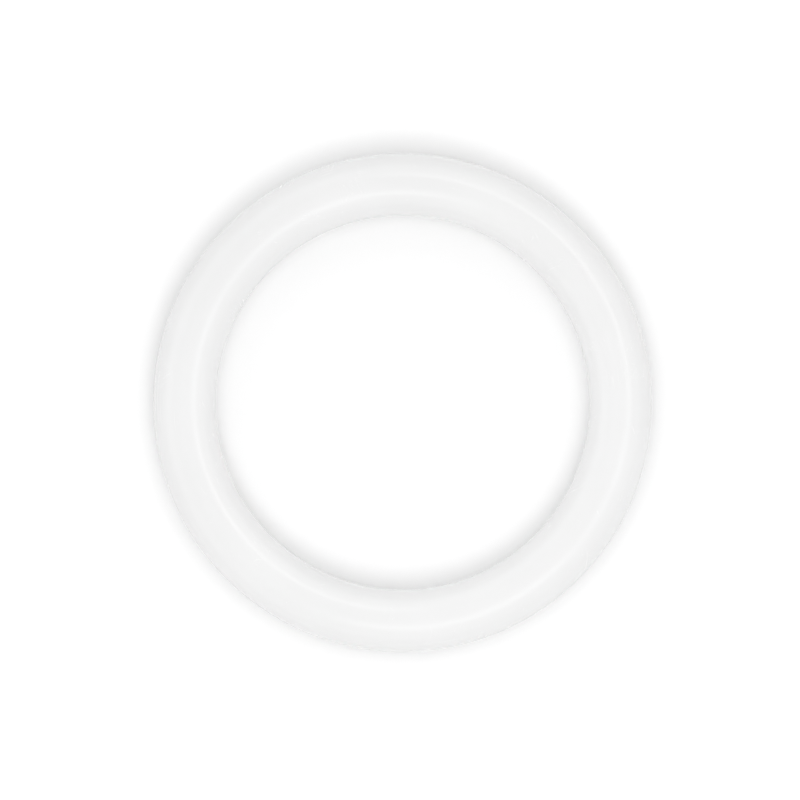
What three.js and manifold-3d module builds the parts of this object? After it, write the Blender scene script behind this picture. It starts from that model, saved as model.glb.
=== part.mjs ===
// A gymnastics ring: a smooth round grip, closed into a ring that a hand passes through.
//
// Two moulded half shells close over a flat steel core ring, which carries the load. Eight screws
// go in from the rear, through bosses that pass through holes in the core, and a plug covers each.
//
// Millimetres, +Z up. The ring lies on the flat land of its rear shell, at z = 0, and its axis is Z.
// A section of the grip is drawn in (x, z): x is outwards from the middle of the grip, and z is up
// from the parting plane, where the two shells meet.

import * as THREE from "three";
import { mergeVertices } from "three/addons/utils/BufferGeometryUtils.js";
import Module from "manifold-3d";

const wasm = await Module();
wasm.setup();

// ---- Driving dimensions ----

const OPENING_DIAMETER = 180; // the hand goes through here
const GRIP_DIAMETER = 30;
const LAND_WIDTH = 8; // flat strip along the rear of the grip, which the ring rests on
const WALL = 3;
const GAP = 0.3; // space between pieces that meet
const SCREW_COUNT = 8;
const RIB_COUNT = 16; // in each shell

const RING_STEPS = 56; // flats round the ring
const SKIN_STEPS = 10; // flats over half of the grip, outside
const CAVITY_STEPS = 6; // flats over half of the grip, inside
const HOLE_STEPS = 16; // flats round a screw, a boss or a hole

// ---- Sizes that follow ----

const GRIP_RADIUS = GRIP_DIAMETER / 2;
const RING_RADIUS = OPENING_DIAMETER / 2 + GRIP_RADIUS; // to the middle of the grip
const CAVITY_RADIUS = GRIP_RADIUS - WALL;
const PARTING_Z = Math.sqrt(GRIP_RADIUS ** 2 - (LAND_WIDTH / 2) ** 2);

// The shells meet in a tongue and groove. A small chamfer makes the parting line outside.
const RIM_Z = GAP / 2;
const RIM_CHAMFER = 0.4;
const RIM_OUTER_ANGLE = Math.asin((RIM_Z + RIM_CHAMFER) / GRIP_RADIUS);
const RIM_INNER_ANGLE = Math.asin(RIM_Z / CAVITY_RADIUS);
const TONGUE_X = GRIP_RADIUS - WALL / 2; // middle of the wall
const TONGUE_WIDTH = 1;
const TONGUE_TIP_Z = -1.2;
const GROOVE_WIDTH = TONGUE_WIDTH + 2 * GAP;
const GROOVE_FLOOR_Z = TONGUE_TIP_Z - GAP;

// The core is a flat ring cut from plate. It lies across the parting plane.
const CORE_THICKNESS = 4;
const CORE_WIDTH = 18;
const CORE_SEAT_Z = CORE_THICKNESS / 2 + GAP; // where ribs and bosses hold it

// Each screw's boss has a thick root, and a thin neck that passes through the core.
const BOSS_ROOT_RADIUS = 5;
const BOSS_NECK_RADIUS = 3.8;
const BOSS_TOP_Z = GRIP_RADIUS - WALL / 2 - 0.5; // inside the wall
const CORE_HOLE_RADIUS = BOSS_NECK_RADIUS + GAP;

const RIB_THICKNESS = 2;
const RIB_RADIUS = CAVITY_RADIUS + 0.4; // a little into the wall
const RIB_FOOT_Z = 0.6;
const RIB_NOTCH_X = CORE_WIDTH / 2 + 0.4;

// Screw sizes. Heights here are above the land.
const SHANK_RADIUS = 1.75;
const SHANK_LENGTH = 16;
const HEAD_RADIUS = 3.1;
const HEAD_HEIGHT = 2.4;
const RECESS_DEPTH = 1.2;
const RECESS_LENGTH = 3.4;
const RECESS_WIDTH = 0.9;
const SCREW_HOLE_RADIUS = SHANK_RADIUS + GAP;
const COUNTERBORE_RADIUS = 3.5;
const COUNTERBORE_DEPTH = 6;
const HEAD_SEAT = COUNTERBORE_DEPTH - GAP;
const SCREW_HOLE_TOP = HEAD_SEAT + SHANK_LENGTH + 1;

// The plug is a shallow cap with a skirt. It stands just inside the land, clear of the ground.
const PLUG_RADIUS = COUNTERBORE_RADIUS - GAP;
const PLUG_SKIRT = 1;
const PLUG_BEVEL = 0.3;
const PLUG_FACE = 0.2;
const PLUG_FLOOR = 1.4;
const PLUG_TOP = HEAD_SEAT - HEAD_HEIGHT - GAP;

// ---- Materials ----

const whitePlastic = new THREE.MeshStandardMaterial({
  color: 0xf2f2f1,
  roughness: 0.32,
  metalness: 0,
});
const corePlate = new THREE.MeshStandardMaterial({
  color: 0x8f9498,
  roughness: 0.5,
  metalness: 1,
});
const zincSteel = new THREE.MeshStandardMaterial({
  color: 0xc3c7c9,
  roughness: 0.35,
  metalness: 1,
});

// ---- Solids and meshes ----

// A closed geometry as a solid that can be joined and cut.
function solidOf(geometry) {
  geometry.deleteAttribute("normal");
  geometry.deleteAttribute("uv");
  const merged = mergeVertices(geometry, 1e-3);
  return new wasm.Manifold(
    new wasm.Mesh({
      numProp: 3,
      vertProperties: merged.attributes.position.array,
      triVerts: new Uint32Array(merged.index.array),
    }),
  );
}

function geometryOf(solid) {
  const { vertProperties, triVerts } = solid.getMesh();
  const geometry = new THREE.BufferGeometry();
  geometry.setAttribute("position", new THREE.BufferAttribute(vertProperties, 3));
  geometry.setIndex(new THREE.BufferAttribute(triVerts, 1));
  geometry.computeVertexNormals();
  return geometry;
}

function namedMesh(name, geometry, material) {
  const mesh = new THREE.Mesh(geometry, material);
  mesh.name = name;
  return mesh;
}

// Points [radius, height] turned round the Z axis.
function turned(points, steps) {
  const profile = points.map(([radius, height]) => new THREE.Vector2(radius, height));
  return new THREE.LatheGeometry([...profile, profile[0]], steps).rotateX(Math.PI / 2);
}

// A round bar along Z, between two heights.
function bar(radius, bottom, top) {
  const geometry = new THREE.CylinderGeometry(radius, radius, top - bottom, HOLE_STEPS);
  return geometry.rotateX(Math.PI / 2).translate(0, 0, (bottom + top) / 2);
}

// Points [x, z] on a circle round the middle of the grip, from one angle to another.
function sectionArc(radius, from, to, steps) {
  return Array.from({ length: steps + 1 }, (_, i) => {
    const angle = from + ((to - from) * i) / steps;
    return [radius * Math.cos(angle), radius * Math.sin(angle)];
  });
}

// The angles of the screws, and of the ribs, which stand clear of them.
const screwAngles = Array.from(
  { length: SCREW_COUNT },
  (_, i) => ((i + 0.5) * 2 * Math.PI) / SCREW_COUNT,
);
const ribAngles = Array.from({ length: RIB_COUNT }, (_, i) => ((i + 0.5) * 2 * Math.PI) / RIB_COUNT);

// ---- Shells ----

// The half section of a shell's skin above the parting plane, [x, z]: rim, outside, rim, inside.
function frontSkinSection() {
  const tongue = [
    [TONGUE_X - TONGUE_WIDTH / 2, RIM_Z],
    [TONGUE_X - TONGUE_WIDTH / 2, TONGUE_TIP_Z],
    [TONGUE_X + TONGUE_WIDTH / 2, TONGUE_TIP_Z],
    [TONGUE_X + TONGUE_WIDTH / 2, RIM_Z],
  ];
  return [
    ...tongue,
    [GRIP_RADIUS - RIM_CHAMFER, RIM_Z],
    ...sectionArc(GRIP_RADIUS, RIM_OUTER_ANGLE, Math.PI - RIM_OUTER_ANGLE, SKIN_STEPS),
    [RIM_CHAMFER - GRIP_RADIUS, RIM_Z],
    ...tongue.toReversed().map(([x, z]) => [-x, z]),
    ...sectionArc(CAVITY_RADIUS, Math.PI - RIM_INNER_ANGLE, RIM_INNER_ANGLE, CAVITY_STEPS),
  ];
}

// The same below the parting plane, with a groove in each rim and the flat land at the bottom.
function rearSkinSection() {
  const landAngle = Math.acos(LAND_WIDTH / 2 / GRIP_RADIUS);
  const groove = [
    [TONGUE_X - GROOVE_WIDTH / 2, -RIM_Z],
    [TONGUE_X - GROOVE_WIDTH / 2, GROOVE_FLOOR_Z],
    [TONGUE_X + GROOVE_WIDTH / 2, GROOVE_FLOOR_Z],
    [TONGUE_X + GROOVE_WIDTH / 2, -RIM_Z],
  ];
  const half = [
    ...groove,
    [GRIP_RADIUS - RIM_CHAMFER, -RIM_Z],
    ...sectionArc(GRIP_RADIUS, -RIM_OUTER_ANGLE, -landAngle, SKIN_STEPS / 2),
  ];
  const mirrored = half.toReversed().map(([x, z]) => [-x, z]);
  const lining = sectionArc(CAVITY_RADIUS, RIM_INNER_ANGLE - Math.PI, -RIM_INNER_ANGLE, CAVITY_STEPS);
  return [...half, ...mirrored, ...lining].toReversed();
}

function skin(section) {
  return turned(
    section.map(([x, z]) => [RING_RADIUS + x, PARTING_Z + z]),
    RING_STEPS,
  );
}

// A wall across the shell, notched to hold the core. side is 1 in the front shell, -1 in the rear.
function rib(side, angle) {
  const foot = Math.asin(RIB_FOOT_Z / RIB_RADIUS);
  const outline = [
    ...sectionArc(RIB_RADIUS, foot, Math.PI - foot, CAVITY_STEPS),
    [-RIB_NOTCH_X, RIB_FOOT_Z],
    [-RIB_NOTCH_X, CORE_SEAT_Z],
    [RIB_NOTCH_X, CORE_SEAT_Z],
    [RIB_NOTCH_X, RIB_FOOT_Z],
  ];
  const shape = new THREE.Shape(outline.map(([x, z]) => new THREE.Vector2(x, z * side)));
  return new THREE.ExtrudeGeometry(shape, { depth: RIB_THICKNESS, bevelEnabled: false })
    .translate(0, 0, -RIB_THICKNESS / 2)
    .rotateX(Math.PI / 2)
    .translate(RING_RADIUS, 0, PARTING_Z)
    .rotateZ(angle);
}

// A screw's boss, from inside the wall to the parting plane. side is as for a rib.
function boss(side, angle) {
  const profile = [
    [0, RIM_Z],
    [BOSS_NECK_RADIUS, RIM_Z],
    [BOSS_NECK_RADIUS, CORE_SEAT_Z],
    [BOSS_ROOT_RADIUS, CORE_SEAT_Z],
    [BOSS_ROOT_RADIUS, BOSS_TOP_Z],
    [0, BOSS_TOP_Z],
  ].map(([radius, z]) => [radius, z * side]);
  return turned(side > 0 ? profile : profile.toReversed(), HOLE_STEPS)
    .translate(RING_RADIUS, 0, PARTING_Z)
    .rotateZ(angle);
}

// A hole for a screw, between two heights above the land.
function screwHole(radius, bottom, top, angle) {
  return bar(radius, bottom, top).translate(RING_RADIUS, 0, 0).rotateZ(angle);
}

function shell(section, side, holes) {
  let solid = solidOf(skin(section));
  for (const angle of ribAngles) {
    solid = solid.add(solidOf(rib(side, angle)));
  }
  for (const angle of screwAngles) {
    solid = solid.add(solidOf(boss(side, angle)));
    for (const { radius, bottom, top } of holes) {
      solid = solid.subtract(solidOf(screwHole(radius, bottom, top, angle)));
    }
  }
  return geometryOf(solid);
}

function frontShell() {
  const pilot = { radius: SCREW_HOLE_RADIUS, bottom: 0, top: SCREW_HOLE_TOP };
  return namedMesh("front_shell", shell(frontSkinSection(), 1, [pilot]), whitePlastic);
}

function rearShell() {
  const clearance = { radius: SCREW_HOLE_RADIUS, bottom: -1, top: PARTING_Z + 1 };
  const counterbore = { radius: COUNTERBORE_RADIUS, bottom: -1, top: COUNTERBORE_DEPTH };
  const geometry = shell(rearSkinSection(), -1, [clearance, counterbore]);
  return namedMesh("rear_shell", geometry, whitePlastic);
}

// ---- Core ----

function coreRing() {
  const bottom = PARTING_Z - CORE_THICKNESS / 2;
  const top = PARTING_Z + CORE_THICKNESS / 2;
  const inner = RING_RADIUS - CORE_WIDTH / 2;
  const outer = RING_RADIUS + CORE_WIDTH / 2;
  const section = [
    [inner, bottom],
    [outer, bottom],
    [outer, top],
    [inner, top],
  ];
  let solid = solidOf(turned(section, RING_STEPS));
  for (const angle of screwAngles) {
    solid = solid.subtract(solidOf(screwHole(CORE_HOLE_RADIUS, bottom - 1, top + 1, angle)));
  }
  return namedMesh("core_ring", geometryOf(solid), corePlate);
}

// ---- Screws and plugs, each drawn round its own axis with z = 0 at the land ----

function screwGeometry() {
  const profile = [
    [0, HEAD_SEAT - HEAD_HEIGHT],
    [HEAD_RADIUS, HEAD_SEAT - HEAD_HEIGHT],
    [HEAD_RADIUS, HEAD_SEAT],
    [SHANK_RADIUS, HEAD_SEAT],
    [SHANK_RADIUS, HEAD_SEAT + SHANK_LENGTH - SHANK_RADIUS],
    [0, HEAD_SEAT + SHANK_LENGTH],
  ];
  let solid = solidOf(turned(profile, HOLE_STEPS));
  for (const turn of [0, Math.PI / 2]) {
    const slot = new THREE.BoxGeometry(RECESS_LENGTH, RECESS_WIDTH, 2 * RECESS_DEPTH)
      .rotateZ(turn)
      .translate(0, 0, HEAD_SEAT - HEAD_HEIGHT);
    solid = solid.subtract(solidOf(slot));
  }
  return geometryOf(solid);
}

function plugGeometry() {
  const profile = [
    [0, PLUG_FACE],
    [PLUG_RADIUS - PLUG_BEVEL, PLUG_FACE],
    [PLUG_RADIUS, PLUG_FACE + PLUG_BEVEL],
    [PLUG_RADIUS, PLUG_TOP],
    [PLUG_RADIUS - PLUG_SKIRT, PLUG_TOP],
    [PLUG_RADIUS - PLUG_SKIRT, PLUG_FLOOR],
    [0, PLUG_FLOOR],
  ];
  return geometryOf(solidOf(turned(profile, HOLE_STEPS)));
}

function fasteners() {
  const screw = screwGeometry();
  const plug = plugGeometry();
  const group = new THREE.Group();
  screwAngles.forEach((angle, i) => {
    const station = new THREE.Group();
    station.rotation.z = angle;
    const pair = [
      namedMesh(`screw_${i + 1}`, screw, zincSteel),
      namedMesh(`screw_plug_${i + 1}`, plug, whitePlastic),
    ];
    for (const mesh of pair) {
      mesh.position.x = RING_RADIUS;
      station.add(mesh);
    }
    group.add(station);
  });
  return group;
}

const ring = new THREE.Group();
ring.add(frontShell(), rearShell(), coreRing(), fasteners());

export default ring;
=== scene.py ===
"""A white gymnastics ring on a white table, seen from straight above.

Two moulded half shells close over a flat steel core ring. Eight screws hold them together from
the rear, each under a plug. Everything is in metres, in the frame of the CAD model: the ring's
axis is Z, and its rear land rests on z = 0.
"""

import math

import bmesh
import bpy
from mathutils import Matrix, Vector


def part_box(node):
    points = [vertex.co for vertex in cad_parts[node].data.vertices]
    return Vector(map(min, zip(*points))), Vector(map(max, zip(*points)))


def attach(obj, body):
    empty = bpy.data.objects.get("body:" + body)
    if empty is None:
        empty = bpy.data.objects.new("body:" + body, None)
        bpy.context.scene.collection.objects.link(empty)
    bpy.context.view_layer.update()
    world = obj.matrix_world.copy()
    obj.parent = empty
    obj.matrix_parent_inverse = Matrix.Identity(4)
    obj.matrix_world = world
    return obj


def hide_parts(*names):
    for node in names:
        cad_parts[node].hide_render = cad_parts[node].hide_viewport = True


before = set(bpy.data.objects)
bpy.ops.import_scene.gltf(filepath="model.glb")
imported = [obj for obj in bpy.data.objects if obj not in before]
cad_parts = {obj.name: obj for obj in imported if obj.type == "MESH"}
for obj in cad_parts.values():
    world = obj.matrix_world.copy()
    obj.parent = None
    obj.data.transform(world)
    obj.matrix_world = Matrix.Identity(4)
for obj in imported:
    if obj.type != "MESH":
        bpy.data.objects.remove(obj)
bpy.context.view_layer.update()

MM = 0.001
STATIONS = range(1, 9)  # the screws, and the plugs over them

# ---- Sizes from the frame ----


def middle(node):
    low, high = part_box(node)
    return (low + high) / 2


CORE_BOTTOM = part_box("core_ring")[0].z
CORE_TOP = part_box("core_ring")[1].z
CORE_OUTER_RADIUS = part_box("core_ring")[1].x
PARTING_Z = middle("core_ring").z  # where the two shells meet
GRIP_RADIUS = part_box("front_shell")[1].z - PARTING_Z
RING_RADIUS = middle("screw_1").xy.length  # to the middle of the grip
CORE_INNER_RADIUS = 2 * RING_RADIUS - CORE_OUTER_RADIUS
SCREW_ANGLES = [math.atan2(middle(f"screw_{n}").y, middle(f"screw_{n}").x) for n in STATIONS]
SCREW_BOTTOM, SCREW_TOP = (corner.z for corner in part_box("screw_1"))
PLUG_BOTTOM, PLUG_TOP = (corner.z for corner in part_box("screw_plug_1"))

# ---- Sizes of the shells' sections ----

WALL = 3 * MM
CAVITY_RADIUS = GRIP_RADIUS - WALL
GAP = 0.3 * MM
RIM_Z = GAP / 2  # from the parting plane
RIM_FILLET = 0.4 * MM
TONGUE_X = GRIP_RADIUS - WALL / 2
TONGUE_HALF = 0.5 * MM
TONGUE_TIP_Z = -1.2 * MM
LAND_HALF = 4 * MM
LAND_BLEND = 0.5 * MM  # the land runs into the round over this width, each side of its edge

BOSS_ROOT_RADIUS = 5 * MM
BOSS_NECK_RADIUS = 3.8 * MM
BOSS_FLARE = 0.8 * MM
BOSS_SEAT_Z = (CORE_TOP - CORE_BOTTOM) / 2 + GAP
BOSS_TOP_Z = CAVITY_RADIUS + 1 * MM  # inside the wall
SCREW_HOLE_RADIUS = 2.05 * MM
COUNTERBORE_RADIUS = 3.5 * MM
COUNTERBORE_DEPTH = 6 * MM
MOUTH_CHAMFER = 0.25 * MM

RIB_COUNT = 16
RIB_ROOT_HALF = 1.0 * MM
RIB_TIP_HALF = 0.8 * MM
RIB_RADIUS = CAVITY_RADIUS + 0.4 * MM
RIB_FOOT_Z = 0.6 * MM
RIB_NOTCH_X = CORE_OUTER_RADIUS - RING_RADIUS + 0.4 * MM

RING_STEPS = 288
ARC_STEPS = 22  # along each arc of a section
FILLET_STEPS = 6
BLEND_STEPS = 5
HOLE_STEPS = 48
PAST = 1 * MM  # how far a hole's cutter reaches past what it cuts
WELD = 1e-7
SHARP_ANGLE = math.radians(25)

# ---- Meshes ----


def arc(centre, radius, start, end, steps):
    """Points (x, z) on part of a circle, from one angle to another."""
    points = []
    for i in range(steps + 1):
        angle = start + (end - start) * i / steps
        points.append((centre[0] + radius * math.cos(angle), centre[1] + radius * math.sin(angle)))
    return points


def turned(profile, steps, bump=None):
    """A closed outline of (radius, height) points, turned round Z. bump moves a point outwards."""
    bm = bmesh.new()
    rings = []
    for i in range(steps):
        angle = 2 * math.pi * i / steps
        ring = []
        for radius, z in profile:
            r = radius + (bump(angle, radius, z) if bump else 0)
            ring.append(bm.verts.new((r * math.cos(angle), r * math.sin(angle), z)))
        rings.append(ring)
    count = len(profile)
    for i, ring in enumerate(rings):
        after = rings[(i + 1) % steps]
        for j in range(count):
            k = (j + 1) % count
            bm.faces.new((ring[j], after[j], after[k], ring[k]))
    bmesh.ops.remove_doubles(bm, verts=bm.verts, dist=WELD)
    on_axis = [edge for edge in bm.edges if edge.is_wire]
    bmesh.ops.delete(bm, geom=on_axis, context="EDGES")
    bmesh.ops.recalc_face_normals(bm, faces=bm.faces)
    return bm


def placed(bm, matrix):
    bm.transform(matrix)
    if matrix.determinant() < 0:
        bmesh.ops.reverse_faces(bm, faces=bm.faces)
    return bm


def mesh_object(name, bm):
    mesh = bpy.data.meshes.new(name)
    bm.to_mesh(mesh)
    bm.free()
    piece = bpy.data.objects.new(name, mesh)
    bpy.context.scene.collection.objects.link(piece)
    return piece


def joined(parts):
    """Several bmeshes as one, which they are put into as separate closed bodies."""
    whole = bmesh.new()
    for part in parts:
        mesh = bpy.data.meshes.new("part")
        part.to_mesh(mesh)
        part.free()
        whole.from_mesh(mesh)
        bpy.data.meshes.remove(mesh)
    return whole


def carved(piece, operation, tools):
    """piece joined with (UNION) or cut by (DIFFERENCE) all the tools at once."""
    tool = mesh_object("tool", joined(tools))
    modifier = piece.modifiers.new("carve", "BOOLEAN")
    modifier.operation = operation
    modifier.solver = "EXACT"
    modifier.object = tool
    depsgraph = bpy.context.evaluated_depsgraph_get()
    mesh = bpy.data.meshes.new_from_object(piece.evaluated_get(depsgraph))
    piece.modifiers.clear()
    piece.data = mesh
    bpy.data.objects.remove(tool)
    return piece


def finished(piece, material, node):
    """Smooth faces and sharp corners, and the piece's material and its place in the frame."""
    piece.data.shade_smooth()
    piece.data.set_sharp_from_angle(angle=SHARP_ANGLE)
    piece.data.materials.clear()
    piece.data.materials.append(material)
    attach(piece, "root")
    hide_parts(node)


def at_station(angle):
    """From a piece drawn round its own axis, to a screw's place in the ring."""
    return Matrix.Rotation(angle, 4, "Z") @ Matrix.Translation((RING_RADIUS, 0, 0))


# ---- Shells ----


def skin_profile(side):
    """The section of a shell's wall. side is 1 in the front shell, -1 in the rear."""
    rim_centre = (GRIP_RADIUS - RIM_FILLET, RIM_Z + RIM_FILLET)
    outer_start = math.asin(rim_centre[1] / GRIP_RADIUS)
    inner_start = math.asin(RIM_Z / CAVITY_RADIUS)
    fillet = arc(rim_centre, RIM_FILLET, -math.pi / 2, 0, FILLET_STEPS)
    if side > 0:
        joint = [(TONGUE_X + x, z) for x, z in tongue_outline()]
        skin = arc((0, 0), GRIP_RADIUS, outer_start, math.pi / 2, ARC_STEPS)
    else:
        joint = [(TONGUE_X + x, z) for x, z in groove_outline()]
        skin = rear_skin(outer_start)
    half = joint + fillet[:-1] + skin
    mirrored = [(-x, z) for x, z in reversed(half)]
    if side > 0:
        mirrored = mirrored[1:]  # the crest's point is shared
    lining = arc((0, 0), CAVITY_RADIUS, math.pi - inner_start, inner_start, ARC_STEPS)
    return [(RING_RADIUS + x, PARTING_Z + side * z) for x, z in half + mirrored + lining]


def tongue_outline():
    return [
        (-TONGUE_HALF, RIM_Z),
        (-TONGUE_HALF, TONGUE_TIP_Z),
        (TONGUE_HALF, TONGUE_TIP_Z),
        (TONGUE_HALF, RIM_Z),
    ]


def groove_outline():
    half, floor = TONGUE_HALF + GAP, GAP - TONGUE_TIP_Z
    return [(-half, RIM_Z), (-half, floor), (half, floor), (half, RIM_Z)]


def rear_skin(start):
    """The outside of the rear shell, drawn upwards: the round, and a blend into the flat land."""
    land_z = math.sqrt(GRIP_RADIUS**2 - LAND_HALF**2)
    blend_x = LAND_HALF + LAND_BLEND
    blend_angle = math.acos(blend_x / GRIP_RADIUS)
    points = arc((0, 0), GRIP_RADIUS, start, blend_angle, ARC_STEPS)
    edge_z = points[-1][1]
    flat_x = LAND_HALF - LAND_BLEND
    for i in range(1, BLEND_STEPS + 1):
        t = i / BLEND_STEPS
        x = blend_x + (flat_x - blend_x) * t
        points.append((x, edge_z + (land_z - edge_z) * (1 - (1 - t) ** 2)))
    return points


def boss(side, angle):
    """A screw's boss: a neck through the core, a root, and a flare into the wall."""
    flare_z = math.sqrt(CAVITY_RADIUS**2 - BOSS_ROOT_RADIUS**2)
    profile = [
        (0, RIM_Z),
        (BOSS_NECK_RADIUS - MOUTH_CHAMFER, RIM_Z),
        (BOSS_NECK_RADIUS, RIM_Z + MOUTH_CHAMFER),
        (BOSS_NECK_RADIUS, BOSS_SEAT_Z),
        (BOSS_ROOT_RADIUS - MOUTH_CHAMFER, BOSS_SEAT_Z),
        (BOSS_ROOT_RADIUS, BOSS_SEAT_Z + MOUTH_CHAMFER),
        (BOSS_ROOT_RADIUS, flare_z - 2 * BOSS_FLARE),
        (BOSS_ROOT_RADIUS + BOSS_FLARE, flare_z),
        (BOSS_ROOT_RADIUS + BOSS_FLARE, BOSS_TOP_Z - BOSS_FLARE),
        (BOSS_ROOT_RADIUS, BOSS_TOP_Z),
        (0, BOSS_TOP_Z),
    ]
    solid = turned([(r, side * z) for r, z in profile], HOLE_STEPS)
    return placed(solid, at_station(angle) @ Matrix.Translation((0, 0, PARTING_Z)))


def rib(side, angle):
    """A wall across the shell, notched for the core, and thinner towards the parting plane."""
    foot = math.asin(RIB_FOOT_Z / RIB_RADIUS)
    outline = arc((0, 0), RIB_RADIUS, foot, math.pi - foot, ARC_STEPS)
    outline += [
        (-RIB_NOTCH_X, RIB_FOOT_Z),
        (-RIB_NOTCH_X, BOSS_SEAT_Z),
        (RIB_NOTCH_X, BOSS_SEAT_Z),
        (RIB_NOTCH_X, RIB_FOOT_Z),
    ]
    bm = bmesh.new()
    sides = []
    for sign in (-1, 1):
        ring = []
        for x, z in outline:
            half = RIB_TIP_HALF + (RIB_ROOT_HALF - RIB_TIP_HALF) * z / RIB_RADIUS
            ring.append(bm.verts.new((x, sign * half, side * z)))
        bm.faces.new(ring)
        sides.append(ring)
    for j in range(len(outline)):
        k = (j + 1) % len(outline)
        bm.faces.new((sides[0][j], sides[0][k], sides[1][k], sides[1][j]))
    bmesh.ops.recalc_face_normals(bm, faces=bm.faces)
    return placed(bm, at_station(angle) @ Matrix.Translation((0, 0, PARTING_Z)))


def round_cutter(profile, angle):
    return placed(turned(profile, HOLE_STEPS), at_station(angle))


def pilot_hole():
    top = SCREW_TOP + PAST
    return [(0, 0), (SCREW_HOLE_RADIUS, 0), (SCREW_HOLE_RADIUS, top), (0, top + SCREW_HOLE_RADIUS / 2)]


def counterbored_hole():
    """From below the land to above the boss, with a chamfer where it meets the land."""
    return [
        (0, -PAST),
        (COUNTERBORE_RADIUS + MOUTH_CHAMFER + PAST, -PAST),
        (COUNTERBORE_RADIUS, MOUTH_CHAMFER),
        (COUNTERBORE_RADIUS, COUNTERBORE_DEPTH),
        (SCREW_HOLE_RADIUS, COUNTERBORE_DEPTH),
        (SCREW_HOLE_RADIUS, PARTING_Z + PAST),
        (0, PARTING_Z + PAST),
    ]


def shell(name, side, hole):
    piece = mesh_object(name, turned(skin_profile(side), RING_STEPS))
    rib_angles = [2 * math.pi * (i + 0.5) / RIB_COUNT for i in range(RIB_COUNT)]
    inner = [rib(side, angle) for angle in rib_angles] + [boss(side, angle) for angle in SCREW_ANGLES]
    carved(piece, "UNION", inner)
    return carved(piece, "DIFFERENCE", [round_cutter(hole, angle) for angle in SCREW_ANGLES])


# ---- Core ----

CORE_EDGE = 0.25 * MM
CORE_HOLE_RADIUS = BOSS_NECK_RADIUS + GAP


def core_ring():
    section = [
        (CORE_INNER_RADIUS + CORE_EDGE, CORE_BOTTOM),
        (CORE_OUTER_RADIUS - CORE_EDGE, CORE_BOTTOM),
        (CORE_OUTER_RADIUS, CORE_BOTTOM + CORE_EDGE),
        (CORE_OUTER_RADIUS, CORE_TOP - CORE_EDGE),
        (CORE_OUTER_RADIUS - CORE_EDGE, CORE_TOP),
        (CORE_INNER_RADIUS + CORE_EDGE, CORE_TOP),
        (CORE_INNER_RADIUS, CORE_TOP - CORE_EDGE),
        (CORE_INNER_RADIUS, CORE_BOTTOM + CORE_EDGE),
    ]
    flared = CORE_HOLE_RADIUS + CORE_EDGE + PAST
    hole = [
        (0, CORE_BOTTOM - PAST),
        (flared, CORE_BOTTOM - PAST),
        (CORE_HOLE_RADIUS, CORE_BOTTOM + CORE_EDGE),
        (CORE_HOLE_RADIUS, CORE_TOP - CORE_EDGE),
        (flared, CORE_TOP + PAST),
        (0, CORE_TOP + PAST),
    ]
    piece = mesh_object("core_plate", turned(section, RING_STEPS))
    return carved(piece, "DIFFERENCE", [round_cutter(hole, angle) for angle in SCREW_ANGLES])


# ---- Screws ----

HEAD_RADIUS = 3.1 * MM
HEAD_HEIGHT = 2.4 * MM
HEAD_ROUND = 1 * MM  # of its crown's edge
HEAD_CHAMFER = 0.15 * MM
NECK_FILLET = 0.3 * MM
PLAIN_NECK = 1.2 * MM  # under the head, without a thread
THREAD_RADIUS = 1.75 * MM
THREAD_DEPTH = 0.5 * MM
THREAD_PITCH = 1.35 * MM
THREAD_FLANK = 0.28  # of the pitch, from crest to root
THREAD_START = SCREW_BOTTOM + HEAD_HEIGHT + PLAIN_NECK
TIP_LENGTH = 2.2 * MM
CROWN_STEPS = 8
SHANK_STEPS = 130
RECESS_DEPTH = 1.5 * MM
RECESS_HALF_LENGTH = 1.8 * MM
RECESS_HALF_WIDTH = 0.45 * MM
RECESS_PAST = 0.5 * MM


def smooth(t):
    t = min(1, max(0, t))
    return t * t * (3 - 2 * t)


def thread(angle, radius, z):
    """How far the thread stands out from the root, at a place on the shank."""
    if z < THREAD_START or radius < WELD:
        return 0
    phase = ((z - THREAD_START) / THREAD_PITCH - angle / (2 * math.pi)) % 1
    crest = max(0, 1 - abs(phase - 0.5) / THREAD_FLANK)
    run_in = smooth((z - THREAD_START) / THREAD_PITCH)
    run_out = smooth((SCREW_TOP - z) / TIP_LENGTH)
    return THREAD_DEPTH * crest * run_in * run_out


def screw_blank():
    seat = SCREW_BOTTOM + HEAD_HEIGHT
    root = THREAD_RADIUS - THREAD_DEPTH
    crown_centre = (HEAD_RADIUS - HEAD_ROUND, SCREW_BOTTOM + HEAD_ROUND)
    crown = arc(crown_centre, HEAD_ROUND, -math.pi / 2, 0, CROWN_STEPS)
    neck = [
        (HEAD_RADIUS, seat - HEAD_CHAMFER),
        (HEAD_RADIUS - HEAD_CHAMFER, seat),
        (root + NECK_FILLET, seat),
    ]
    shank_start = seat + NECK_FILLET
    shank = []
    for i in range(SHANK_STEPS + 1):
        z = shank_start + (SCREW_TOP - shank_start) * i / SHANK_STEPS
        shank.append((root * math.sqrt(min(1, (SCREW_TOP - z) / TIP_LENGTH)), z))
    return turned([(0, SCREW_BOTTOM)] + crown + neck + shank, HOLE_STEPS, thread)


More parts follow.
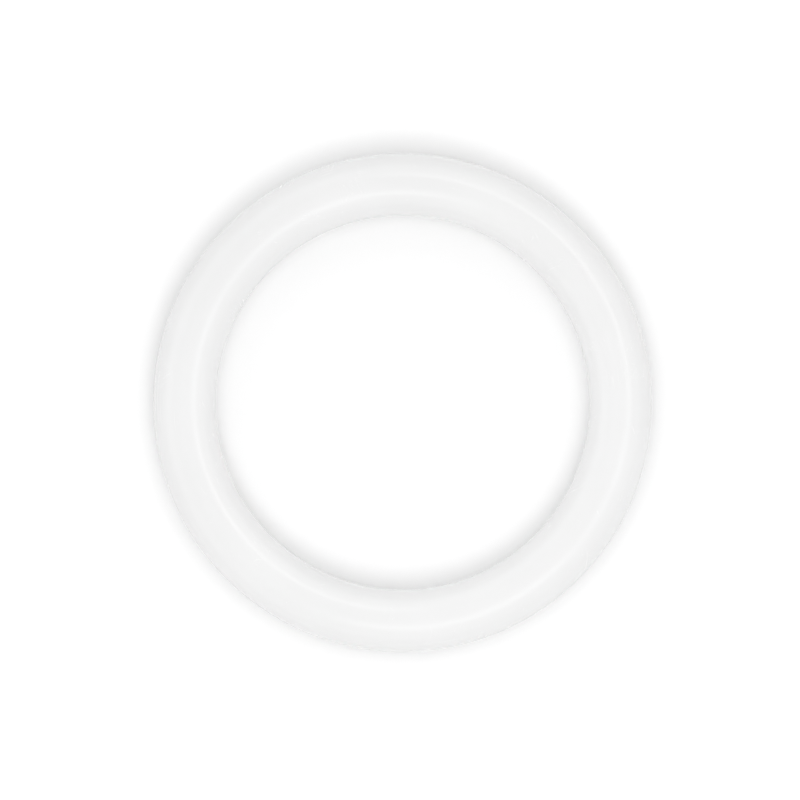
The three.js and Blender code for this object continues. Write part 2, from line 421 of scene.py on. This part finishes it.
def recess_cutter(turn):
    """One arm of the cross recess, which narrows with depth."""
    mouth = (SCREW_BOTTOM - RECESS_PAST, RECESS_HALF_LENGTH + RECESS_PAST / 2, 1.1 * RECESS_HALF_WIDTH)
    floor = (SCREW_BOTTOM + RECESS_DEPTH, 0.55 * RECESS_HALF_LENGTH, 0.75 * RECESS_HALF_WIDTH)
    bm = bmesh.new()
    layers = []
    for z, length, width in (mouth, floor):
        corners = ((-length, -width), (length, -width), (length, width), (-length, width))
        layers.append([bm.verts.new((x, y, z)) for x, y in corners])
    bm.faces.new(layers[0])
    bm.faces.new(layers[1])
    for j in range(4):
        k = (j + 1) % 4
        bm.faces.new((layers[0][j], layers[0][k], layers[1][k], layers[1][j]))
    bmesh.ops.recalc_face_normals(bm, faces=bm.faces)
    return placed(bm, Matrix.Rotation(turn, 4, "Z"))


def screw_mesh():
    piece = mesh_object("screw_blank", screw_blank())
    carved(piece, "DIFFERENCE", [recess_cutter(0)])
    carved(piece, "DIFFERENCE", [recess_cutter(math.pi / 2)])
    mesh = piece.data
    bpy.data.objects.remove(piece)
    return mesh


# ---- Plugs ----

PLUG_RADIUS = 3.2 * MM
PLUG_SKIRT = 0.9 * MM
PLUG_FLOOR = 1.4 * MM
PLUG_FILLET = 0.35 * MM
CRUSH_RIBS = 6
CRUSH_RIB_HEIGHT = 0.2 * MM
CRUSH_RIB_FLANK = 0.12  # of the way from one rib to the next
PLUG_STEPS = 96
GATE_RADIUS = 0.5 * MM
GATE_DEPTH = 0.12 * MM


def crush_rib(angle, radius, z):
    """Low ribs on the skirt, which hold the plug in its counterbore."""
    if radius < PLUG_RADIUS - WELD or z < PLUG_BOTTOM + 2 * PLUG_FILLET:
        return 0
    phase = (angle * CRUSH_RIBS / (2 * math.pi)) % 1
    return CRUSH_RIB_HEIGHT * smooth(1 - abs(phase - 0.5) / CRUSH_RIB_FLANK)


def plug_mesh():
    corner = (PLUG_RADIUS - PLUG_FILLET, PLUG_BOTTOM + PLUG_FILLET)
    inner = PLUG_RADIUS - PLUG_SKIRT
    profile = [
        (0, PLUG_BOTTOM + GATE_DEPTH),
        (GATE_RADIUS, PLUG_BOTTOM + GATE_DEPTH),
        (GATE_RADIUS + GATE_DEPTH, PLUG_BOTTOM),
        *arc(corner, PLUG_FILLET, -math.pi / 2, 0, FILLET_STEPS),
        (PLUG_RADIUS, PLUG_BOTTOM + 2 * PLUG_FILLET),
        (PLUG_RADIUS, PLUG_BOTTOM + 2.5 * PLUG_FILLET),
        (PLUG_RADIUS, PLUG_TOP - PLUG_FILLET),
        (PLUG_RADIUS - PLUG_FILLET / 2, PLUG_TOP),
        (inner, PLUG_TOP),
        (inner, PLUG_FLOOR),
        (0, PLUG_FLOOR),
    ]
    mesh = bpy.data.meshes.new("plug")
    bm = turned(profile, PLUG_STEPS, crush_rib)
    bm.to_mesh(mesh)
    bm.free()
    return mesh


def at_stations(mesh, name, material, node):
    """The same mesh at every screw's place, each a piece of its own."""
    for n, angle in zip(STATIONS, SCREW_ANGLES):
        copy = mesh.copy()
        copy.transform(at_station(angle))
        piece = bpy.data.objects.new(f"{name}_{n}", copy)
        bpy.context.scene.collection.objects.link(piece)
        finished(piece, material, f"{node}_{n}")


# ---- Materials ----


def put(tree, kind, values, **settings):
    """A new node. An input is linked if its value is another node's output, and set if not."""
    node = tree.nodes.new("ShaderNode" + kind)
    for name, value in settings.items():
        setattr(node, name, value)
    for key, value in values.items():
        if isinstance(value, bpy.types.NodeSocket):
            tree.links.new(value, node.inputs[key])
        else:
            node.inputs[key].default_value = value
    return node


def calc(tree, operation, *values):
    return put(tree, "Math", dict(enumerate(values)), operation=operation).outputs[0]


def vector_calc(tree, operation, a, b):
    return put(tree, "VectorMath", {0: a, 1: b}, operation=operation).outputs["Vector"]


def length_of(tree, vector):
    return put(tree, "VectorMath", {0: vector}, operation="LENGTH").outputs["Value"]


def combined(tree, x, y, z):
    return put(tree, "CombineXYZ", {0: x, 1: y, 2: z}).outputs[0]


def eased(tree, value, start, end, low=0.0, high=1.0):
    """low up to start, high from end on, and a smooth step between them."""
    values = {"Value": value, "From Min": start, "From Max": end, "To Min": low, "To Max": high}
    return put(tree, "MapRange", values, interpolation_type="SMOOTHSTEP").outputs["Result"]


def noise(tree, vector, size, detail=2.0):
    """Soft noise round 0.5, whose spots are about size across."""
    values = {"Vector": vector, "Scale": 1 / size, "Detail": detail}
    return put(tree, "TexNoise", values).outputs["Fac"]


def blended(tree, factor, a, b):
    return put(tree, "Mix", {0: factor, 6: a, 7: b}, data_type="RGBA").outputs[2]


def bumped(tree, height, depth, normal=None):
    """height is 0 to 1, and depth is what that stands for in metres."""
    values = {"Height": height, "Distance": depth}
    if normal:
        values["Normal"] = normal
    return put(tree, "Bump", values).outputs["Normal"]


def grey(level):
    return (level, level, level, 1)


class Surface:
    """A new material, and the places on the ring that its patterns are drawn from."""

    def __init__(self, name):
        self.material = bpy.data.materials.new(name)
        self.material.use_nodes = True
        self.tree = self.material.node_tree
        self.shader = self.tree.nodes["Principled BSDF"]
        self.place = put(self.tree, "TexCoord", {}).outputs["Object"]
        x, y, z = put(self.tree, "SeparateXYZ", {0: self.place}).outputs
        self.z = z
        flat = vector_calc(self.tree, "MULTIPLY", self.place, (1, 1, 0))
        self.radius = length_of(self.tree, flat)
        self.angle = calc(self.tree, "ARCTAN2", y, x)

    def station_place(self):
        """A place measured from the nearest screw's axis: out along the ring, across it, and up."""
        tree = self.tree
        apart = 2 * math.pi / len(STATIONS)
        turned_back = calc(tree, "SUBTRACT", self.angle, SCREW_ANGLES[0])
        folded = calc(tree, "WRAP", turned_back, apart / 2, -apart / 2)
        across = calc(tree, "MULTIPLY", self.radius, calc(tree, "SINE", folded))
        outwards = calc(tree, "MULTIPLY", self.radius, calc(tree, "COSINE", folded))
        return combined(tree, calc(tree, "SUBTRACT", outwards, RING_RADIUS), across, self.z)

    def station_radius(self):
        flat = vector_calc(self.tree, "MULTIPLY", self.station_place(), (1, 1, 0))
        return length_of(self.tree, flat)

    def lines_round(self, radius, width, length):
        """Fine lines that run round an axis, given the distance from it."""
        across = combined(self.tree, radius, self.z, 0.0)
        fine = vector_calc(self.tree, "MULTIPLY", across, (1 / width,) * 3)
        coarse = vector_calc(self.tree, "MULTIPLY", self.place, (1 / length,) * 3)
        return noise(self.tree, vector_calc(self.tree, "ADD", fine, coarse), 1)

    def scratches(self, turn, width, length):
        """Thin straight marks that run one way, broken into short stretches."""
        tree = self.tree
        values = {"Vector": self.place, "Angle": turn, "Axis": (0.3, 0.2, 1)}
        turned_place = put(tree, "VectorRotate", values).outputs[0]
        stretched = vector_calc(tree, "MULTIPLY", turned_place, (1 / width, 1 / length, 1 / length))
        from_middle = calc(tree, "ABSOLUTE", calc(tree, "SUBTRACT", noise(tree, stretched, 1, 0.0), 0.5))
        line = eased(tree, from_middle, 0.0, 0.02, 1.0, 0.0)
        stretch = eased(tree, noise(tree, turned_place, length), 0.60, 0.72)
        return calc(tree, "MULTIPLY", line, stretch)

    def all_scratches(self, width, length):
        marks = self.scratches(0.4, width, length)
        for turn in (1.5, 2.6):
            marks = calc(self.tree, "MAXIMUM", marks, self.scratches(turn, width, length))
        return marks

    def wire(self, **sockets):
        """Link the shader's inputs, with _ for a space in their names, and hand over the material."""
        for name, value in sockets.items():
            self.tree.links.new(value, self.shader.inputs[name.replace("_", " ")])
        return self.material


SHELL_WHITE = 0.7165  # the share of light that it gives back
SHELL_CLOUDING = 0.007  # how much lighter or darker it gets in places
SEAM_DIRT = (0.46, 0.45, 0.43, 1)
SCUFFED_WHITE = (0.58, 0.57, 0.55, 1)
SCRATCH_WHITE = 0.80


def shell_plastic_material():
    """Moulded satin white: faint tool lines and orange peel, light scratches, and a dulled land."""
    s = Surface("white_shell_plastic")
    tree = s.tree
    clouds = noise(tree, s.place, 45 * MM, 3.0)
    peel = noise(tree, s.place, 3.5 * MM, 1.0)
    grain = noise(tree, s.place, 0.28 * MM, 3.0)
    lines = s.lines_round(s.radius, 0.35 * MM, 25 * MM)
    scratches = s.all_scratches(0.5 * MM, 14 * MM)

    from_seam = calc(tree, "ABSOLUTE", calc(tree, "SUBTRACT", s.z, PARTING_Z))
    seam_dirt = eased(tree, from_seam, 0.1 * MM, 0.5 * MM, 0.2, 0.0)
    worn = eased(tree, s.z, 0.1 * MM, 0.9 * MM, 1.0, 0.0)
    scuffed = calc(tree, "MULTIPLY", worn, eased(tree, noise(tree, s.place, 2.5 * MM, 4.0), 0.42, 0.62))

    low, high = (1 - SHELL_CLOUDING) * SHELL_WHITE, (1 + SHELL_CLOUDING) * SHELL_WHITE
    colour = blended(tree, eased(tree, clouds, 0.35, 0.65), grey(low), grey(high))
    colour = blended(tree, calc(tree, "MULTIPLY", scratches, 0.02), colour, grey(SCRATCH_WHITE))
    colour = blended(tree, calc(tree, "MULTIPLY", scuffed, 0.35), colour, SCUFFED_WHITE)
    colour = blended(tree, seam_dirt, colour, SEAM_DIRT)

    rough = calc(tree, "MULTIPLY_ADD", clouds, 0.06, 0.20)
    rough = calc(tree, "MULTIPLY_ADD", lines, 0.05, rough)
    rough = calc(tree, "MULTIPLY_ADD", scratches, 0.05, rough)
    rough = calc(tree, "MULTIPLY_ADD", scuffed, 0.2, rough)

    normal = bumped(tree, peel, 0.008 * MM)
    normal = bumped(tree, lines, 0.0015 * MM, normal)
    normal = bumped(tree, grain, 0.0025 * MM, normal)
    normal = bumped(tree, calc(tree, "SUBTRACT", 1.0, scratches), 0.0006 * MM, normal)
    return s.wire(Base_Color=colour, Roughness=rough, Normal=normal)


PLUG_WHITES = (0.64, 0.64, 0.64, 1), (0.67, 0.67, 0.66, 1)
RIM_DIRT = (0.48, 0.47, 0.45, 1)


def plug_plastic_material():
    """A softer, duller white than the shells', with faint rings from its mould."""
    s = Surface("white_plug_plastic")
    tree = s.tree
    from_axis = s.station_radius()
    clouds = noise(tree, s.place, 4 * MM, 3.0)
    grain = noise(tree, s.place, 0.2 * MM, 3.0)
    rings = s.lines_round(from_axis, 0.12 * MM, 8 * MM)
    rim_dirt = eased(tree, from_axis, PLUG_RADIUS - 0.5 * MM, PLUG_RADIUS, 0.0, 0.4)

    colour = blended(tree, eased(tree, clouds, 0.35, 0.65), *PLUG_WHITES)
    colour = blended(tree, rim_dirt, colour, RIM_DIRT)
    rough = calc(tree, "MULTIPLY_ADD", clouds, 0.12, 0.36)
    rough = calc(tree, "MULTIPLY_ADD", rings, 0.08, rough)
    normal = bumped(tree, rings, 0.003 * MM)
    normal = bumped(tree, grain, 0.004 * MM, normal)
    return s.wire(Base_Color=colour, Roughness=rough, Normal=normal)


STEEL_GREYS = (0.40, 0.41, 0.42, 1), (0.50, 0.50, 0.49, 1)
HEAT_TINT = (0.36, 0.29, 0.22, 1)
PIT_GREY = 0.30
TINT_WIDTH = 1.6 * MM


def core_steel_material():
    """Rolled plate: grain along the sheet, cut edges with upright drag lines and a heat tint."""
    s = Surface("core_steel")
    tree = s.tree
    s.shader.inputs["Metallic"].default_value = 1
    along = vector_calc(tree, "MULTIPLY", s.place, (1 / (40 * MM), 1 / (0.25 * MM), 1 / (40 * MM)))
    rolled = noise(tree, along, 1, 3.0)
    oil = noise(tree, s.place, 18 * MM, 4.0)
    pits = eased(tree, noise(tree, s.place, 0.5 * MM, 4.0), 0.66, 0.78)

    drag = vector_calc(tree, "MULTIPLY", s.place, (1 / (0.3 * MM), 1 / (0.3 * MM), 1 / (12 * MM)))
    drag_lines = noise(tree, drag, 1, 1.0)
    normal_z = put(tree, "SeparateXYZ", {0: put(tree, "NewGeometry", {}).outputs["Normal"]}).outputs[2]
    on_edge = eased(tree, calc(tree, "ABSOLUTE", normal_z), 0.3, 0.8, 1.0, 0.0)
    from_middle = calc(tree, "ABSOLUTE", calc(tree, "SUBTRACT", s.radius, RING_RADIUS))
    half_width = CORE_OUTER_RADIUS - RING_RADIUS
    tint = eased(tree, from_middle, half_width - TINT_WIDTH, half_width, 0.0, 0.6)
    tint_end = CORE_HOLE_RADIUS + TINT_WIDTH
    hole_tint = eased(tree, s.station_radius(), CORE_HOLE_RADIUS, tint_end, 0.6, 0.0)
    tint = calc(tree, "MAXIMUM", tint, hole_tint)

    colour = blended(tree, eased(tree, oil, 0.35, 0.65), *STEEL_GREYS)
    colour = blended(tree, tint, colour, HEAT_TINT)
    colour = blended(tree, calc(tree, "MULTIPLY", pits, 0.7), colour, grey(PIT_GREY))
    rough = calc(tree, "MULTIPLY_ADD", rolled, 0.15, 0.30)
    rough = calc(tree, "MULTIPLY_ADD", oil, 0.12, rough)
    rough = calc(tree, "MULTIPLY_ADD", pits, 0.2, rough)
    height = blended(tree, on_edge, rolled, drag_lines)
    normal = bumped(tree, height, 0.02 * MM)
    normal = bumped(tree, calc(tree, "SUBTRACT", 1.0, pits), 0.015 * MM, normal)
    return s.wire(Base_Color=colour, Roughness=rough, Normal=normal)


ZINC_GREYS = (0.60, 0.63, 0.66, 1), (0.72, 0.73, 0.73, 1)
# painted shade: the colour put deep in the cross recess and in the thread roots
RECESS_SHADE_GREY = (0.22, 0.21, 0.20, 1)


def screw_zinc_material():
    """Bright zinc plate over turned and rolled steel, with painted shade down in the thread roots and
    the recess.
    """
    s = Surface("screw_zinc")
    tree = s.tree
    s.shader.inputs["Metallic"].default_value = 1
    from_axis = s.station_radius()
    turned_lines = s.lines_round(from_axis, 0.08 * MM, 30 * MM)
    patches = noise(tree, s.place, 1.5 * MM, 4.0)
    # Painted shade: darker near the axis and further down, in the recess and the thread roots. The same
    # places are also made rougher.
    near_axis = eased(tree, from_axis, THREAD_RADIUS - THREAD_DEPTH, THREAD_RADIUS, 0.6, 0.0)
    deep = eased(tree, s.z, SCREW_BOTTOM + 0.1 * MM, SCREW_BOTTOM + RECESS_DEPTH, 0.0, 0.5)
    dark = calc(tree, "MULTIPLY", near_axis, deep)

    colour = blended(tree, eased(tree, patches, 0.35, 0.65), *ZINC_GREYS)
    colour = blended(tree, dark, colour, RECESS_SHADE_GREY)
    rough = calc(tree, "MULTIPLY_ADD", patches, 0.16, 0.18)
    rough = calc(tree, "MULTIPLY_ADD", dark, 0.3, rough)
    normal = bumped(tree, turned_lines, 0.004 * MM)
    normal = bumped(tree, patches, 0.006 * MM, normal)
    return s.wire(Base_Color=colour, Roughness=rough, Normal=normal)


# ---- The ring ----

shell_plastic = shell_plastic_material()
finished(shell("front_half", 1, pilot_hole()), shell_plastic, "front_shell")
finished(shell("rear_half", -1, counterbored_hole()), shell_plastic, "rear_shell")
finished(core_ring(), core_steel_material(), "core_ring")
at_stations(screw_mesh(), "cross_screw", screw_zinc_material(), "screw")
at_stations(plug_mesh(), "plug", plug_plastic_material(), "screw_plug")

# ---- Table, light and camera ----

TABLE_HALF_WIDTH = 40  # so wide that its edge is out of a low view
TABLE_GAP = 0.05 * MM  # below the ring, so that the two faces don't fight
TABLE_WHITE = 0.87
TABLE_GLOW = 0.42  # of light from below, far out
OVERHEAD_DISTANCE = 1.4

# How bright the light tent is, by the sine of the height above the table.
TENT = ((0, 0.35), (0.25, 1.33), (0.5, 1.28), (0.75, 0.68), (1, 0.09))
TENT_LEAN = (-0.05, 0.14, 0)  # brighter towards -X and +Y

STRIP_LAMPS = 12
STRIP_DISTANCE = 3.0
STRIP_HALF_ANGLE = math.radians(34)  # of the cone that the lamps lie on
STRIP_LEAN = math.radians(5)  # of that cone, towards +Y
STRIP_WIDTH = math.radians(11)  # as the ring sees it
STRIP_START, STRIP_END = math.radians(-102), math.radians(96)
STRIP_BRIGHTNESS = 2.1

VIEW_HEIGHT = 6.0  # the camera above the parting plane
RING_SHARE = 0.623  # of the picture's width
VIEW_OFFSET = Vector((-1.25, 1.25, 0)) * MM


def table_material():
    """Plain white, and lit from below further out, where the overhead softbox lights it less."""
    material = bpy.data.materials.new("white_table")
    material.use_nodes = True
    tree = material.node_tree
    shader = tree.nodes["Principled BSDF"]
    shader.inputs["Base Color"].default_value = grey(TABLE_WHITE)
    shader.inputs["Specular IOR Level"].default_value = 0
    shader.inputs["Emission Color"].default_value = grey(1)
    radius = length_of(tree, put(tree, "TexCoord", {}).outputs["Object"])
    distance_squared = calc(tree, "MULTIPLY_ADD", radius, radius, OVERHEAD_DISTANCE**2)
    nearness = calc(tree, "DIVIDE", OVERHEAD_DISTANCE**2, distance_squared)
    softbox_share = calc(tree, "POWER", nearness, 2.0)
    glow = calc(tree, "MULTIPLY_ADD", softbox_share, -TABLE_GLOW, TABLE_GLOW)
    tree.links.new(glow, shader.inputs["Emission Strength"])
    return material


def table_top():
    bm = bmesh.new()
    bmesh.ops.create_grid(bm, x_segments=1, y_segments=1, size=TABLE_HALF_WIDTH)
    piece = mesh_object("table_top", bm)
    piece.location.z = -TABLE_GAP
    piece.data.materials.append(table_material())


def soft_lamp(name, irradiance, distance, spread, lean_x, lean_y):
    """A round softbox that makes soft shadows and no gloss. Its angles are in degrees.

    irradiance is what reaches the ring, spread is how broad the softbox looks from there, and the
    leans are from straight up towards +X and +Y.
    """
    lean = (math.tan(math.radians(lean_x)), math.tan(math.radians(lean_y)), 1)
    direction = Vector(lean).normalized()
    radius = distance * math.tan(math.radians(spread / 2))
    data = bpy.data.lights.new(name, "AREA")
    data.shape = "DISK"
    data.size = 2 * radius
    data.energy = irradiance * math.pi * (distance**2 + radius**2)
    lamp = bpy.data.objects.new(name, data)
    lamp.location = direction * distance
    lamp.rotation_euler = direction.to_track_quat("Z", "Y").to_euler()
    lamp.visible_glossy = False
    lamp.visible_camera = False
    bpy.context.scene.collection.objects.link(lamp)


def tent(tree, direction, height):
    """Brightest low down, and dark overhead, where the softbox takes over."""
    ramp = put(tree, "ValToRGB", {0: height})
    ramp.color_ramp.interpolation = "CARDINAL"
    stops = ramp.color_ramp.elements  # it starts with two, at 0 and 1
    for position, _ in TENT[1:-1]:
        stops.new(position)
    brightest = max(level for _, level in TENT)
    for stop, (_, level) in zip(stops, TENT):
        stop.color = grey(level / brightest)
    lean = put(tree, "VectorMath", {0: direction, 1: TENT_LEAN}, operation="DOT_PRODUCT")
    leaning = calc(tree, "MULTIPLY_ADD", lean.outputs["Value"], brightest, brightest)
    return calc(tree, "MULTIPLY", ramp.outputs["Color"], leaning)


def strip_light():
    """Lamps side by side on an arc, on the +X side. They make a line of gloss, and no shadow."""
    lean = Matrix.Rotation(-STRIP_LEAN, 3, "X")
    step = (STRIP_END - STRIP_START) / STRIP_LAMPS
    width = STRIP_DISTANCE * STRIP_WIDTH
    length = STRIP_DISTANCE * math.sin(STRIP_HALF_ANGLE) * step
    for i in range(STRIP_LAMPS):
        azimuth = STRIP_START + (i + 0.5) * step
        across = Vector((math.cos(azimuth), math.sin(azimuth), 0)) * math.sin(STRIP_HALF_ANGLE)
        towards = lean @ (across + Vector((0, 0, math.cos(STRIP_HALF_ANGLE))))
        data = bpy.data.lights.new("strip", "AREA")
        data.shape = "RECTANGLE"
        data.size = length
        data.size_y = width
        data.energy = STRIP_BRIGHTNESS * math.pi * length * width
        lamp = bpy.data.objects.new("strip", data)
        lamp.location = towards * STRIP_DISTANCE
        lamp.rotation_euler = towards.to_track_quat("Z", "Y").to_euler()
        lamp.visible_diffuse = False
        bpy.context.scene.collection.objects.link(lamp)


def room_light():
    world = bpy.data.worlds.new("room")
    bpy.context.scene.world = world
    world.use_nodes = True
    tree = world.node_tree
    direction = put(tree, "TexCoord", {}).outputs["Generated"]
    height = put(tree, "SeparateXYZ", {0: direction}).outputs[2]
    background = tree.nodes["Background"]
    background.inputs["Color"].default_value = grey(1)
    tree.links.new(tent(tree, direction, height), background.inputs["Strength"])


def camera():
    """It looks straight down, with the lens that makes the ring its share of the picture."""
    data = bpy.data.cameras.new("camera")
    outer_radius = RING_RADIUS + GRIP_RADIUS
    shown_width = 2 * outer_radius / RING_SHARE
    data.lens = data.sensor_width * VIEW_HEIGHT / shown_width
    piece = bpy.data.objects.new("camera", data)
    piece.location = VIEW_OFFSET + Vector((0, 0, PARTING_Z + VIEW_HEIGHT))
    bpy.context.scene.collection.objects.link(piece)
    bpy.context.scene.camera = piece


table_top()
soft_lamp("overhead", irradiance=1.36, distance=OVERHEAD_DISTANCE, spread=60, lean_x=2, lean_y=-6)
soft_lamp("key", irradiance=0.27, distance=3.0, spread=25, lean_x=4, lean_y=-30)
strip_light()
room_light()
camera()
bpy.context.scene.view_settings.view_transform = "Standard"
